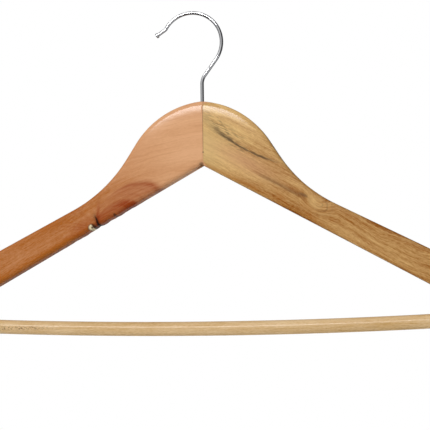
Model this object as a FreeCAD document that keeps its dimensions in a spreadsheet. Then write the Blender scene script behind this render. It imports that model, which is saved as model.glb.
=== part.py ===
import FreeCAD, Part
import math
import os
import Sketcher

# Wooden clothes hanger with a swivelling wire hook and a trouser bar, millimetres.
# +X runs along the shoulders, -Y is the front face and +Z is up. The origin is the
# rail seat: the inside of the hook's arc at its top, where it rests on a rail.
# The wooden parts and the hook are drawn from the crotch instead, the point on the
# swivel axis where the lower edges of the two shoulders meet, and then placed.

SHEET = "Sizes"
PARTS_FOLDER = "parts"
SIDES = ((-1, "left"), (1, "right"))
# How far a cut runs on past the wood, so that it leaves it cleanly.
OVERRUN = 2.0
TOLERANCE = 1e-6
# Numbers that a sketch uses for its own root point, its axis and the points of a curve.
ROOT = -1
VERTICAL_AXIS = -2
START = 1
END = 2
CENTRE = 3

DIMENSIONS = [
    ("span", 445.0, "width over both shoulder ends"),
    ("thickness", 14.0, "front to back thickness of the shoulders"),
    ("crown_rise", 45.1, "top of the crown above the crotch"),
    ("apex_radius", 20.0, "crown radius at its very top"),
    ("apex_angle", 7.0, "angle of the apex arc on one side"),
    ("crown_radius", 62.6, "crown radius beside the apex"),
    ("flank_angle", 57.3, "slope of the straight flank under the crown"),
    ("flank_run", 13.0, "length of the straight flank"),
    ("neck_radius", 101.4, "hollow radius between the flank and the shoulder"),
    ("upper_angle", 27.0, "slope of the shoulder's upper edge"),
    ("lower_angle", 28.9, "slope of the shoulder's lower edge"),
    ("tip_top_radius", 14.0, "upper corner radius of the shoulder end"),
    ("tip_low_radius", 6.0, "lower corner radius of the shoulder end"),
    ("edge_round", 4.6, "rounding of all front and back edges"),
    ("seam_offset", 1.4, "glue line on both faces to the right of the swivel axis"),
    ("comb_reach", 5.0, "reach of the glued finger joint to each side of that line"),
    ("comb_flanks", 4.0, "flanks of the finger joint across the thickness"),
    ("wire_wide", 2.5, "hook wire diameter"),
    ("hook_radius", 21.6, "centre line radius of the hook's arc"),
    ("hook_reach", 7.25, "hook's arc centre to the left of the swivel axis"),
    ("hook_height", 88.3, "hook's arc centre above the crotch"),
    ("lean", 36.4, "lean of the hook's stem above its bend"),
    ("stem_bend", 10.0, "bend radius between the stem and its lean"),
    ("hook_end_angle", 150.0, "where the hook's arc ends, from +X"),
    ("kick_turn", 26.6, "outward turn of the hook's end"),
    ("kick_bend", 2.5, "bend radius of that turn"),
    ("kick_run", 7.6, "straight wire after the turn"),
    ("knob_wide", 3.6, "diameter of the upset knob that ends the wire"),
    ("knob_long", 1.8, "length of the knob"),
    ("knob_round", 0.5, "rounding of the knob"),
    ("bore_wide", 2.9, "hook bore in the wood"),
    ("cup_wide", 8.6, "recess for the washer and nut under the crotch"),
    ("cup_floor", 7.0, "recess floor above the crotch"),
    ("washer_wide", 8.0, "washer diameter"),
    ("washer_hole", 2.66, "washer hole, a running fit on the wire"),
    ("washer_thick", 0.8, "washer thickness"),
    ("nut_gap", 0.3, "play between the washer and the nut"),
    ("nut_flats", 5.0, "nut width across flats"),
    ("nut_thick", 2.0, "nut thickness"),
    ("nut_bevel", 0.3, "bevel of the nut's lower corners"),
    ("wire_below_nut", 0.7, "end of the wire below the nut"),
    ("wire_bevel", 0.3, "bevel of the wire's lower end"),
    ("bar_wide", 10.0, "trouser bar diameter"),
    ("bar_drop", 115.3, "middle of the trouser bar below the crotch"),
    ("bar_bow", 3720.0, "radius of the bar's slight downward bow"),
    ("bar_half", 216.0, "half the bar's length along X"),
    ("bar_bevel", 0.6, "bevel of the bar's ends"),
    ("bar_play", 0.05, "glue gap all round the bar in its holes"),
    ("bar_end_gap", 0.5, "glue gap behind each end of the bar"),
    ("bar_grip", 204.0, "where the bar lies in line with its holes, along X"),
    ("bar_hole_run", 40.0, "drilled length from the hole's end to past the wood"),
    ("brad_out", 210.5, "brads from the middle, along X"),
    ("brad_wide", 1.4, "brad shank diameter"),
    ("brad_head", 2.2, "brad head diameter"),
    ("brad_head_thick", 0.6, "brad head thickness"),
    ("brad_long", 11.0, "brad length with its point"),
    ("brad_point", 1.4, "length of the brad's point"),
]

# Height of the crotch in the frame: the rail seat is the inside of the hook's top.
CROTCH_LEVEL = "(-[hook_height] - [hook_radius] + [wire_wide] / 2)"
# Heights above the crotch.
WASHER_FLOOR = "([cup_floor] - [washer_thick])"
NUT_FLOOR = f"({WASHER_FLOOR} - [nut_gap] - [nut_thick])"
WIRE_FLOOR = f"({NUT_FLOOR} - [wire_below_nut])"

doc = FreeCAD.newDocument("clothes_hanger")
sheet = doc.addObject("Spreadsheet::Sheet", SHEET)
for row, (alias, value, meaning) in enumerate(DIMENSIONS, start=1):
    sheet.set(f"A{row}", meaning)
    sheet.set(f"B{row}", str(value))
    sheet.setAlias(f"B{row}", alias)
doc.recompute()


def bound(text):
    """Turn a formula with names in square brackets into an expression on the sheet."""
    return text.replace("[", f"{SHEET}.").replace("]", "")


def number(text):
    """The present value of such a formula."""
    return float(sheet.evalExpression(bound(text)))


def bind(obj, **formulas):
    """Bind properties; a double underscore in a name stands for a dot."""
    for path, text in formulas.items():
        obj.setExpression(path.replace("__", "."), bound(text))


def new_body(name):
    body = doc.addObject("PartDesign::Body", name)
    body.Label = name
    return body


def origin_plane(body, role):
    return next(item for item in body.Origin.OriginFeatures if item.Role == role)


def new_sketch(body, name, role):
    """A sketch on one of the body's own origin planes."""
    sketch = body.newObject("Sketcher::SketchObject", name)
    sketch.AttachmentSupport = (origin_plane(body, role), [""])
    sketch.MapMode = "FlatFace"
    return sketch


def relate(sketch, kind, *references):
    sketch.addConstraint(Sketcher.Constraint(kind, *references))


def dimension(sketch, kind, *references, size):
    """Add a driving dimension whose value follows a formula of the sheet."""
    value = number(size)
    if kind == "Angle":
        value = math.radians(value)
    index = sketch.addConstraint(Sketcher.Constraint(kind, *references, value))
    sketch.setExpression(f"Constraints[{index}]", bound(size))


class Chain:
    """Lines and arcs drawn one after another in a sketch, each tangent to the last."""

    def __init__(self, sketch, x, z, heading):
        self.sketch = sketch
        self.x = x
        self.z = z
        self.heading = heading
        self.last = None

    def _join(self, index, entry, leave):
        if self.last is not None:
            relate(self.sketch, "Tangent", self.last[0], self.last[1], index, entry)
        self.last = (index, leave)
        return index

    def line(self, length):
        start = FreeCAD.Vector(self.x, self.z, 0)
        self.x += length * math.cos(math.radians(self.heading))
        self.z += length * math.sin(math.radians(self.heading))
        end = FreeCAD.Vector(self.x, self.z, 0)
        return self._join(self.sketch.addGeometry(Part.LineSegment(start, end)), START, END)

    def arc(self, radius, turn):
        """Turn left by a positive angle or right by a negative one."""
        side = math.copysign(90.0, turn)
        to_centre = math.radians(self.heading + side)
        centre_x = self.x + radius * math.cos(to_centre)
        centre_z = self.z + radius * math.sin(to_centre)
        circle = Part.Circle(FreeCAD.Vector(centre_x, centre_z, 0), FreeCAD.Vector(0, 0, 1), radius)
        first = math.radians(self.heading - side)
        last = math.radians(self.heading - side + turn)
        self.heading += turn
        self.x = centre_x + radius * math.cos(last)
        self.z = centre_z + radius * math.sin(last)
        if turn > 0:
            index = self.sketch.addGeometry(Part.ArcOfCircle(circle, first, last))
            return self._join(index, START, END)
        index = self.sketch.addGeometry(Part.ArcOfCircle(circle, last, first))
        return self._join(index, END, START)


def draw_polygon(sketch, corners):
    """A closed outline through corners given as pairs of formulas."""
    points = [FreeCAD.Vector(number(across), number(up), 0) for across, up in corners]
    first = None
    for index, point in enumerate(points):
        side = sketch.addGeometry(Part.LineSegment(point, points[(index + 1) % len(points)]))
        first = side if first is None else first
        for kind, formula in zip(("DistanceX", "DistanceY"), corners[index]):
            dimension(sketch, kind, ROOT, START, side, START, size=formula)
    for index in range(len(points)):
        relate(sketch, "Coincident", first + index, END, first + (index + 1) % len(points), START)


def draw_circle(sketch, diameter):
    """A circle about the sketch's origin."""
    radius = number(diameter) / 2
    circle = sketch.addGeometry(Part.Circle(FreeCAD.Vector(0, 0, 0), FreeCAD.Vector(0, 0, 1), radius))
    relate(sketch, "Coincident", circle, CENTRE, ROOT, START)
    dimension(sketch, "Diameter", circle, size=diameter)


def add_pad(body, name, sketch, length, symmetric=False):
    pad = body.newObject("PartDesign::Pad", name)
    pad.Profile = sketch
    pad.SideType = "Symmetric" if symmetric else "One side"
    bind(pad, Length=length)
    doc.recompute()
    return pad


def drill(body, name, role, diameter, depth, centre, tilt="0"):
    """Cut a round hole along an origin plane's normal, from a point given in its frame.

    The hole may be tilted about the first axis of that plane.
    """
    before = body.Shape.Volume
    hole = body.newObject("PartDesign::SubtractiveCylinder", name)
    hole.AttachmentSupport = (origin_plane(body, role), [""])
    hole.MapMode = "FlatFace"
    hole.AttachmentOffset = FreeCAD.Placement(
        FreeCAD.Vector(0, 0, 0), FreeCAD.Rotation(FreeCAD.Vector(1, 0, 0), number(tilt))
    )
    bind(hole, Radius=f"({diameter}) / 2", Height=depth)
    for axis, place in zip("xyz", centre):
        bind(hole, **{f"AttachmentOffset__Base__{axis}": place})
    if tilt != "0":
        bind(hole, AttachmentOffset__Rotation__Angle=tilt)
    doc.recompute()
    if not body.Shape.Volume < before:
        raise RuntimeError(f"{name} cuts nothing")


def circle_edges(shape, diameter, height=None):
    """Names of the whole circles of one diameter, and of one height if that is given."""
    names = []
    for index, edge in enumerate(shape.Edges, start=1):
        if not isinstance(edge.Curve, Part.Circle) or not edge.isClosed():
            continue
        same_size = abs(2 * edge.Curve.Radius - number(diameter)) < TOLERANCE
        same_height = height is None or abs(edge.Curve.Center.z - number(height)) < TOLERANCE
        if same_size and same_height:
            names.append(f"Edge{index}")
    return names


def place_at_crotch(body):
    """Move a body that is drawn from the crotch into the hanger's own frame."""
    bind(body, Placement__Base__x="[hook_reach]", Placement__Base__z=CROTCH_LEVEL)


def bar_slope(across):
    """Slope of the bowed bar at a distance from the middle."""
    return f"asin({across} / [bar_bow])"


def bar_height(across):
    """Height of the bar's centre line over the crotch at that distance."""
    return f"(-[bar_drop] + [bar_bow] * (1 - cos({bar_slope(across)})))"


def draw_half_outline(sketch):
    """Right half of the hanger's front outline, closed along the swivel axis."""
    chain = Chain(sketch, 0.0, number("[crown_rise]"), 0.0)
    apex = chain.arc(number("[apex_radius]"), -number("[apex_angle]"))
    crown = chain.arc(number("[crown_radius]"), number("[apex_angle] - [flank_angle]"))
    flank = chain.line(number("[flank_run]"))
    neck = chain.arc(number("[neck_radius]"), number("[flank_angle] - [upper_angle]"))
    tip_start = number("[span] / 2 - [tip_top_radius] * (1 - sin([upper_angle] * 1deg))")
    upper = chain.line((tip_start - chain.x) / math.cos(math.radians(chain.heading)))
    tip_top = chain.arc(number("[tip_top_radius]"), number("[upper_angle] - 90"))
    low_turn = number("90 + [lower_angle]")
    low_tangent = number("[tip_low_radius]") * math.tan(math.radians(low_turn / 2))
    low_corner = -number("[span] / 2 * tan([lower_angle] * 1deg)")
    end_face = chain.line(chain.z - low_corner - low_tangent)
    tip_low = chain.arc(number("[tip_low_radius]"), -low_turn)
    lower = chain.line(math.hypot(chain.x, chain.z))
    top = FreeCAD.Vector(0, number("[crown_rise]"), 0)
    middle = sketch.addGeometry(Part.LineSegment(FreeCAD.Vector(0, 0, 0), top))

    relate(sketch, "Coincident", middle, START, ROOT, START)
    relate(sketch, "Coincident", lower, END, ROOT, START)
    relate(sketch, "Coincident", middle, END, apex, END)
    relate(sketch, "Vertical", middle)
    relate(sketch, "PointOnObject", apex, CENTRE, VERTICAL_AXIS)
    relate(sketch, "Vertical", end_face)
    dimension(sketch, "DistanceY", ROOT, START, middle, END, size="[crown_rise]")
    dimension(sketch, "DistanceX", ROOT, START, end_face, START, size="[span] / 2")
    dimension(sketch, "Distance", flank, size="[flank_run]")
    dimension(sketch, "Angle", apex, size="[apex_angle]")
    for line, slope in ((flank, "-[flank_angle]"), (upper, "-[upper_angle]")):
        dimension(sketch, "Angle", line, size=slope)
    dimension(sketch, "Angle", lower, size="180 - [lower_angle]")
    arcs = (
        (apex, "[apex_radius]"),
        (crown, "[crown_radius]"),
        (neck, "[neck_radius]"),
        (tip_top, "[tip_top_radius]"),
        (tip_low, "[tip_low_radius]"),
    )
    for arc, radius in arcs:
        dimension(sketch, "Radius", arc, size=radius)


def face_edges(shape, half_thickness):
    """Names of the outline's edges on the front and back faces, without the middle line."""
    names = []
    for index, edge in enumerate(shape.Edges, start=1):
        on_face = all(abs(abs(v.Point.y) - half_thickness) < TOLERANCE for v in edge.Vertexes)
        on_middle = all(abs(v.Point.x) < TOLERANCE for v in edge.Vertexes)
        if on_face and not on_middle:
            names.append(f"Edge{index}")
    return names


def comb_outline(side):
    """The other shoulder's share, seen from above: a zigzag closed far outside it."""
    flanks = round(number("[comb_flanks]"))
    corners = [("[seam_offset]", f"-[thickness] / 2 - {OVERRUN}")]
    corners.append(("[seam_offset]", "-[thickness] / 2"))
    for index in range(flanks):
        reach = "[seam_offset] " + ("+ [comb_reach]" if index % 2 == 0 else "- [comb_reach]")
        share = (2 * index + 1) / (2 * flanks)
        corners.append((reach, f"[thickness] * ({share} - 0.5)"))
    corners.append(("[seam_offset]", "[thickness] / 2"))
    corners.append(("[seam_offset]", f"[thickness] / 2 + {OVERRUN}"))
    corners.append((f"{-side} * [span]", f"[thickness] / 2 + {OVERRUN}"))
    corners.append((f"{-side} * [span]", f"-[thickness] / 2 - {OVERRUN}"))
    return corners


def make_shoulder(name, side):
    """One wooden shoulder; side is -1 for the left and +1 for the right."""
    body = new_body(name)
    outline = new_sketch(body, f"{name}_outline", "XZ_Plane")
    draw_half_outline(outline)
    blank = add_pad(body, f"{name}_half_blank", outline, "[thickness]", symmetric=True)
    rounding = body.newObject("PartDesign::Fillet", f"{name}_rounding")
    rounding.Base = (blank, face_edges(blank.Shape, number("[thickness] / 2")))
    bind(rounding, Radius="[edge_round]")
    doc.recompute()

    whole = body.newObject("PartDesign::Mirrored", f"{name}_whole_blank")
    whole.TransformMode = "Whole shape"
    whole.MirrorPlane = (origin_plane(body, "YZ_Plane"), [""])
    body.Tip = whole
    doc.recompute()

    comb = new_sketch(body, f"{name}_comb", "XY_Plane")
    draw_polygon(comb, comb_outline(side))
    parting = body.newObject("PartDesign::Pocket", f"{name}_parting")
    parting.Profile = comb
    parting.Type = "ThroughAll"
    parting.SideType = "Symmetric"
    doc.recompute()
    if not 0.45 < body.Shape.Volume / whole.Shape.Volume < 0.55:
        raise RuntimeError(f"{name} is not half of the blank")

    through = f"[crown_rise] + {2 * OVERRUN}"
    below = ("0", "0", f"-{OVERRUN}")
    drill(body, f"{name}_hook_bore", "XY_Plane", "[bore_wide]", through, below)
    cup_depth = "[cup_floor] + [cup_wide]"
    cup_start = ("0", "0", "-[cup_wide]")
    drill(body, f"{name}_nut_recess", "XY_Plane", "[cup_wide]", cup_depth, cup_start)

    slope = bar_slope("[bar_grip]")
    hole_end = "([bar_half] + [bar_end_gap])"
    hole_height = f"{bar_height('[bar_grip]')} + ({hole_end} - [bar_grip]) * tan({slope})"
    hole_start = ("0", hole_height, f"{side} * {hole_end}")
    inward = slope if side < 0 else f"180deg - {slope}"
    bar_hole = "[bar_wide] + 2 * [bar_play]"
    drill(body, f"{name}_bar_hole", "YZ_Plane", bar_hole, "[bar_hole_run]", hole_start, inward)
    drill_brad_hole(body, f"{name}_brad_hole", side, "[brad_wide]", "[brad_long]")
    drill_brad_hole(body, f"{name}_brad_seat", side, "[brad_head]", "[brad_head_thick]")
    place_at_crotch(body)


def drill_brad_hole(body, name, side, diameter, depth):
    """A hole for a brad, from the back face towards the front."""
    centre = (f"{side} * [brad_out]", bar_height("[brad_out]"), "-[thickness] / 2")
    drill(body, name, "XZ_Plane", diameter, depth, centre)


def make_bar():
    """The round trouser bar, slightly bowed, with bevelled ends."""
    body = new_body("trouser_bar")
    section = new_sketch(body, "bar_section", "YZ_Plane")
    middle = FreeCAD.Vector(0, -number("[bar_drop]"), 0)
    circle = section.addGeometry(
        Part.Circle(middle, FreeCAD.Vector(0, 0, 1), number("[bar_wide] / 2"))
    )
    height = number("[bar_bow] - [bar_drop]")
    axis = section.addGeometry(
        Part.LineSegment(FreeCAD.Vector(-1, height, 0), FreeCAD.Vector(1, height, 0)), True
    )
    relate(section, "PointOnObject", circle, CENTRE, VERTICAL_AXIS)
    relate(section, "Horizontal", axis)
    dimension(section, "Diameter", circle, size="[bar_wide]")
    dimension(section, "DistanceY", circle, CENTRE, ROOT, START, size="[bar_drop]")
    dimension(section, "DistanceY", circle, CENTRE, axis, START, size="[bar_bow]")
    dimension(section, "DistanceX", axis, START, ROOT, START, size="1")
    dimension(section, "DistanceX", ROOT, START, axis, END, size="1")

    rod = body.newObject("PartDesign::Revolution", "bar_rod")
    rod.Profile = section
    rod.ReferenceAxis = (section, ["Axis0"])
    rod.Midplane = True
    bind(rod, Angle=f"2 * {bar_slope('[bar_half]')}")
    doc.recompute()
    bevel = body.newObject("PartDesign::Chamfer", "bar_end_bevel")
    bevel.Base = (rod, circle_edges(rod.Shape, "[bar_wide]"))
    bind(bevel, Size="[bar_bevel]")
    doc.recompute()
    for side, name in SIDES:
        drill_brad_hole(body, f"bar_{name}_brad_hole", side, "[brad_wide]", "[brad_long]")
    place_at_crotch(body)


def make_hook():
    """The bent wire hook: stem, lean, arc, kicked out end and upset knob."""
    body = new_body("hook")
    path = new_sketch(body, "hook_path", "XZ_Plane")
    bend_tangent = number("[stem_bend] * tan([lean] * 0.5deg)")
    lean = math.radians(number("[lean]"))
    radius = number("[hook_radius]")
    across = radius * math.cos(lean) - number("[hook_reach]")
    lean_length = across / math.sin(lean)
    corner = number("[hook_height]") - radius * math.sin(lean) - across / math.tan(lean)
    chain = Chain(path, 0.0, number(WIRE_FLOOR), 90.0)
    stem = chain.line(corner - number(WIRE_FLOOR) - bend_tangent)
    bend = chain.arc(number("[stem_bend]"), -number("[lean]"))
    leaning = chain.line(lean_length - bend_tangent)
    crook = chain.arc(radius, number("[hook_end_angle] + [lean]"))
    kick = chain.arc(number("[kick_bend]"), -number("[kick_turn]"))
    tail = chain.line(number("[kick_run]"))
    relate(path, "PointOnObject", stem, START, VERTICAL_AXIS)
    relate(path, "Vertical", stem)
    dimension(path, "DistanceY", ROOT, START, stem, START, size=WIRE_FLOOR)
    dimension(path, "Radius", bend, size="[stem_bend]")
    dimension(path, "Angle", leaning, size="90 - [lean]")
    dimension(path, "Radius", crook, size="[hook_radius]")
    dimension(path, "DistanceX", crook, CENTRE, ROOT, START, size="[hook_reach]")
    dimension(path, "DistanceY", ROOT, START, crook, CENTRE, size="[hook_height]")
    dimension(path, "Angle", crook, size="[hook_end_angle] + [lean]")
    dimension(path, "Radius", kick, size="[kick_bend]")
    dimension(path, "Angle", kick, size="[kick_turn]")
    dimension(path, "Distance", tail, size="[kick_run]")

    section = new_sketch(body, "hook_section", "XY_Plane")
    draw_circle(section, "[wire_wide]")
    bind(section, AttachmentOffset__Base__z=WIRE_FLOOR)
    wire = body.newObject("PartDesign::AdditivePipe", "hook_wire")
    wire.Profile = section
    wire.Spine = path
    doc.recompute()
    lower_end = body.newObject("PartDesign::Chamfer", "hook_lower_bevel")
    lower_end.Base = (wire, circle_edges(wire.Shape, "[wire_wide]", WIRE_FLOOR))
    bind(lower_end, Size="[wire_bevel]")
    doc.recompute()

    knob = body.newObject("PartDesign::AdditiveCylinder", "hook_knob")
    knob.AttachmentSupport = [(path, f"Edge{tail + 1}"), (path, f"Vertex{tail + 2}")]
    knob.MapMode = "NormalToEdge"
    bind(knob, Radius="[knob_wide] / 2", Height="[knob_long]")
    bind(knob, AttachmentOffset__Base__z="-[knob_long]")
    doc.recompute()
    rounding = body.newObject("PartDesign::Fillet", "hook_knob_rounding")
    rounding.Base = (knob, circle_edges(body.Shape, "[knob_wide]"))
    bind(rounding, Radius="[knob_round]")
    doc.recompute()
    place_at_crotch(body)


def make_washer():
    body = new_body("hook_washer")
    ring = new_sketch(body, "washer_ring", "XY_Plane")
    draw_circle(ring, "[washer_wide]")
    draw_circle(ring, "[washer_hole]")
    add_pad(body, "washer_plate", ring, "[washer_thick]")
    place_at_crotch(body)
    bind(body, Placement__Base__z=f"{CROTCH_LEVEL} + {WASHER_FLOOR}")


def make_nut():
    """The hexagon nut that holds the hook's stem up, bevelled at its lower corners."""
    body = new_body("hook_nut")
    hexagon = new_sketch(body, "nut_hexagon", "XY_Plane")
    corner = "[nut_flats] / (2 * cos(30deg))"
    corners = [(f"{corner} * cos({60 * k}deg)", f"{corner} * sin({60 * k}deg)") for k in range(6)]
    draw_polygon(hexagon, corners)
    add_pad(body, "nut_blank", hexagon, "[nut_thick]")
    through = f"[nut_thick] + {2 * OVERRUN}"
    drill(body, "nut_bore", "XY_Plane", "[wire_wide]", through, ("0", "0", f"-{OVERRUN}"))

    wedge = new_sketch(body, "nut_bevel_wedge", "XZ_Plane")
    draw_polygon(
        wedge,
        (
            (f"{corner} - [nut_bevel]", "0"),
            (f"{corner} + [nut_bevel]", "0"),
            (f"{corner} + [nut_bevel]", "2 * [nut_bevel]"),
        ),
    )
    bevel = body.newObject("PartDesign::Groove", "nut_bevel")
    bevel.Profile = wedge
    bevel.ReferenceAxis = (wedge, ["V_Axis"])
    before = body.Shape.Volume
    doc.recompute()
    if not body.Shape.Volume < before:
        raise RuntimeError("nut_bevel cuts nothing")
    place_at_crotch(body)
    bind(body, Placement__Base__z=f"{CROTCH_LEVEL} + {NUT_FLOOR}")


def make_brad(name, side):
    """A brad driven in from the back, its head flush with the wood."""
    body = new_body(f"bar_brad_{name}")
    outline = new_sketch(body, f"brad_{name}_outline", "XY_Plane")
    corners = (
        ("0", "0"),
        ("[brad_head] / 2", "0"),
        ("[brad_head] / 2", "-[brad_head_thick]"),
        ("[brad_wide] / 2", "-[brad_head_thick]"),
        ("[brad_wide] / 2", "[brad_point] - [brad_long]"),
        ("0", "-[brad_long]"),
    )
    draw_polygon(outline, corners)
    turned = body.newObject("PartDesign::Revolution", f"brad_{name}_turned")
    turned.Profile = outline
    turned.ReferenceAxis = (outline, ["V_Axis"])
    doc.recompute()
    bind(body, Placement__Base__x=f"[hook_reach] + {side} * [brad_out]")
    bind(body, Placement__Base__y="[thickness] / 2")
    bind(body, Placement__Base__z=f"{CROTCH_LEVEL} + {bar_height('[brad_out]')}")


def check_document():
    """Stop if any object failed or any sub-part has no valid solid."""
    for obj in doc.Objects:
        if {"Invalid", "Error"} & set(obj.State):
            raise RuntimeError(f"{obj.Name} failed: {obj.State}")
    for body in sub_parts():
        shape = body.Shape
        if shape.isNull() or not shape.isValid() or len(shape.Solids) != 1:
            raise RuntimeError(f"{body.Label} has no single valid solid")


def sub_parts():
    return [obj for obj in doc.Objects if obj.TypeId == "PartDesign::Body"]


for side, name in SIDES:
    make_shoulder(f"{name}_shoulder", side)
    make_brad(name, side)
make_bar()
make_hook()
make_washer()
make_nut()
doc.recompute()
check_document()

os.makedirs(PARTS_FOLDER, exist_ok=True)
for body in sub_parts():
    body.Shape.exportStep(os.path.join(PARTS_FOLDER, f"{body.Label}.step"))
    print(f"{body.Label}: {body.Shape.Volume:.1f} mm3")
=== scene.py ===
from math import asin, ceil, copysign, cos, exp, hypot, pi, radians, sin, sqrt, tan, tau

import bmesh
import bpy
from mathutils import Matrix, Vector
from mathutils.kdtree import KDTree


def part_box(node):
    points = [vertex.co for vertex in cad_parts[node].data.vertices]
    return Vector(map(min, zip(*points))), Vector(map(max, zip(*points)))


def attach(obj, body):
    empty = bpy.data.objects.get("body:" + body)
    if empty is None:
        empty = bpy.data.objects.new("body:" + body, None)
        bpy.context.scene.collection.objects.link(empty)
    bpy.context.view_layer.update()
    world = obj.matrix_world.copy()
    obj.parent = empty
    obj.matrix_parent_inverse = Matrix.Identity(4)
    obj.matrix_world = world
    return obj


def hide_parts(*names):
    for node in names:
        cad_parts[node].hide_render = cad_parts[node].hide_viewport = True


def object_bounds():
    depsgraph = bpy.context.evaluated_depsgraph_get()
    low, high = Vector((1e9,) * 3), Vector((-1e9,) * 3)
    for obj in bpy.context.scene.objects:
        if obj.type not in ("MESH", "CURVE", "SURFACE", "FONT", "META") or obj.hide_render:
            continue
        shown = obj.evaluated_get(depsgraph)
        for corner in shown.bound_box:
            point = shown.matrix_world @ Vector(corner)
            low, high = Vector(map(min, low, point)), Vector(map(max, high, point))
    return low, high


bl_info = {
    "name": "Clothes Hanger",
    "version": (1, 0, 0),
    "blender": (4, 5, 0),
    "location": "3D View > Sidebar > Hanger",
    "description": "Builds a wooden clothes hanger with a wire hook and a trouser bar",
    "category": "Add Mesh",
}

SIDES = (("left", -1), ("right", 1))
MM = 0.001
MERGE = 0.00001
# How far a cutter runs on past the wood, so that it leaves it cleanly.
OVERRUN = 0.004
SHARP_ANGLE = radians(35)
# Where the bar's hole is measured, as an angle of its bow short of its end, and the drill's run.
BAR_GRIP = radians(0.18)
BAR_DRILL = 0.04
HEAD_PLAY = 0.02 * MM
# Where the knot's rings meet and where its crack lies, in millimetres along the left arm from
# the crotch, and how far the crack leans back for each millimetre up.
KNOT_END = 86.8
CRACK_PLACE = 85.3
CRACK_LEAN = 0.14
# Middle of each lamp from the hanger's middle, and the lamp's width and height, in metres.
KEY_PLACE, KEY_SIZE = (-0.3, -1.29, 0.67), (0.78, 0.2)
WASH_PLACE, WASH_SIZE = (0.0, 0.0, -0.35), (1.2, 1.2)
# Panels of the tent: direction, degrees off it where each ends and is full, and brightness.
TENT = (
    ((-0.25, -0.5, 0.83), 56, 30, 0.7),
    ((0.0, -1.0, 0.05), 34, 14, 0.42),
    ((-0.85, -0.5, 0.1), 42, 24, 0.33),
    ((0.6, -0.5, -0.6), 30, 14, 0.75),
    ((0.0, 1.0, 0.0), 60, 40, 0.25),
)

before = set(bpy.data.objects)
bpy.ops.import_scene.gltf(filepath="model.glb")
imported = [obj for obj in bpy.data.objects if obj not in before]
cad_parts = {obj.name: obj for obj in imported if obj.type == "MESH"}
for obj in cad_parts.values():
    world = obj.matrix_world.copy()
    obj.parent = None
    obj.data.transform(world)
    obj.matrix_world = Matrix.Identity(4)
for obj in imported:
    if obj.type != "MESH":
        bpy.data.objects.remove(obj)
cad_low, cad_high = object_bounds()


def middle_of(node):
    low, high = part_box(node)
    return (low + high) / 2


# ---- settings


def length(name, description, millimetres):
    return bpy.props.FloatProperty(
        name=name, description=description, default=millimetres * MM, min=0, precision=5,
        subtype="DISTANCE", unit="LENGTH"
    )


def angle(name, description, degrees):
    return bpy.props.FloatProperty(
        name=name, description=description, default=radians(degrees), subtype="ANGLE",
        unit="ROTATION"
    )


def amount(name, description, value):
    return bpy.props.FloatProperty(name=name, description=description, default=value, precision=4)


def count(name, description, value):
    return bpy.props.IntProperty(name=name, description=description, default=value, min=1)


def colour(name, description, red, green, blue):
    """A colour property, given as the 0 to 255 numbers of a paint chart."""
    return bpy.props.FloatVectorProperty(
        name=name, description=description, default=[linear(part / 255) for part in (red, green, blue)],
        min=0, max=1, size=3, subtype="COLOR"
    )


def linear(part):
    return part / 12.92 if part <= 0.04045 else ((part + 0.055) / 1.055) ** 2.4


class HangerShoulders(bpy.types.PropertyGroup):
    span: length("Span", "Width over both shoulder ends", 445)
    crown_rise: length("Crown rise", "Top of the crown above the crotch", 45.1)
    apex_radius: length("Apex radius", "Crown radius at its very top", 20)
    apex_angle: angle("Apex angle", "Angle of the apex arc on one side", 7)
    crown_radius: length("Crown radius", "Crown radius beside the apex", 62.6)
    flank_angle: angle("Flank slope", "Slope of the straight flank under the crown", 57.3)
    flank_run: length("Flank run", "Length of the straight flank", 13)
    neck_radius: length("Neck radius", "Hollow between the flank and the shoulder", 101.4)
    upper_angle: angle("Upper slope", "Slope of the shoulder's upper edge", 27)
    lower_angle: angle("Lower slope", "Slope of the shoulder's lower edge", 28.9)
    tip_top_radius: length("Upper corner", "Upper corner radius of the shoulder end", 14)
    tip_low_radius: length("Lower corner", "Lower corner radius of the shoulder end", 6)
    edge_round: length("Rounding", "Rounding of all front and back edges", 3)
    seam_offset: length("Seam offset", "Glue line to the right of the swivel axis", 1.4)
    comb_reach: length("Comb reach", "Reach of the finger joint to each side of the seam", 5)
    comb_flanks: count("Comb flanks", "Flanks of the finger joint across the thickness", 4)
    cup_floor: length("Recess floor", "Height of the recess floor above the crotch", 7)
    cup_wide: length("Recess width", "Recess for the washer and the nut", 8.6)
    bore_wide: length("Bore", "Bore for the hook", 2.9)
    rounding_steps: count("Rounding steps", "Facets over each rounded edge", 8)
    pillow_reach: length("Pillow reach", "Width of the crown's soft easing inside its edge", 13)
    pillow_drop: length("Pillow drop", "Depth of that easing at the edge", 1.45)


class HangerBar(bpy.types.PropertyGroup):
    bow: length("Bow", "Radius of the bar's slight downward bow", 3720)
    bevel: length("Bevel", "Rounding of the bar's ends", 0.6)
    play: length("Play", "Glue gap all round the bar in its holes", 0.05)
    end_gap: length("End gap", "Glue gap behind each end of the bar", 0.5)
    steps: count("Steps", "Facets along the bar", 72)
    facets: count("Facets", "Facets round the bar", 40)


class HangerHook(bpy.types.PropertyGroup):
    wire_wide: length("Wire", "Wire diameter", 2.5)
    arc_radius: length("Arc radius", "Centre line radius of the arc", 21.6)
    arc_reach: length("Arc reach", "Arc centre to the left of the swivel axis", 7.25)
    lean: angle("Lean", "Lean of the stem above its bend", 36.4)
    stem_bend: length("Stem bend", "Bend radius between the stem and its lean", 10)
    end_angle: angle("End angle", "Where the arc ends, from the right", 150)
    kick_turn: angle("Kick", "Outward turn of the hook's end", 26.6)
    kick_bend: length("Kick bend", "Bend radius of that turn", 2.5)
    kick_run: length("Kick run", "Straight wire after the turn", 7.6)
    knob_wide: length("Knob width", "Diameter of the upset knob", 3.6)
    knob_long: length("Knob length", "Length of the upset knob", 1.8)
    knob_round: length("Knob rounding", "Rounding of the knob", 0.5)
    end_bevel: length("End bevel", "Bevel of the wire's lower end", 0.3)
    facets: count("Facets", "Facets round the wire", 32)


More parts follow.
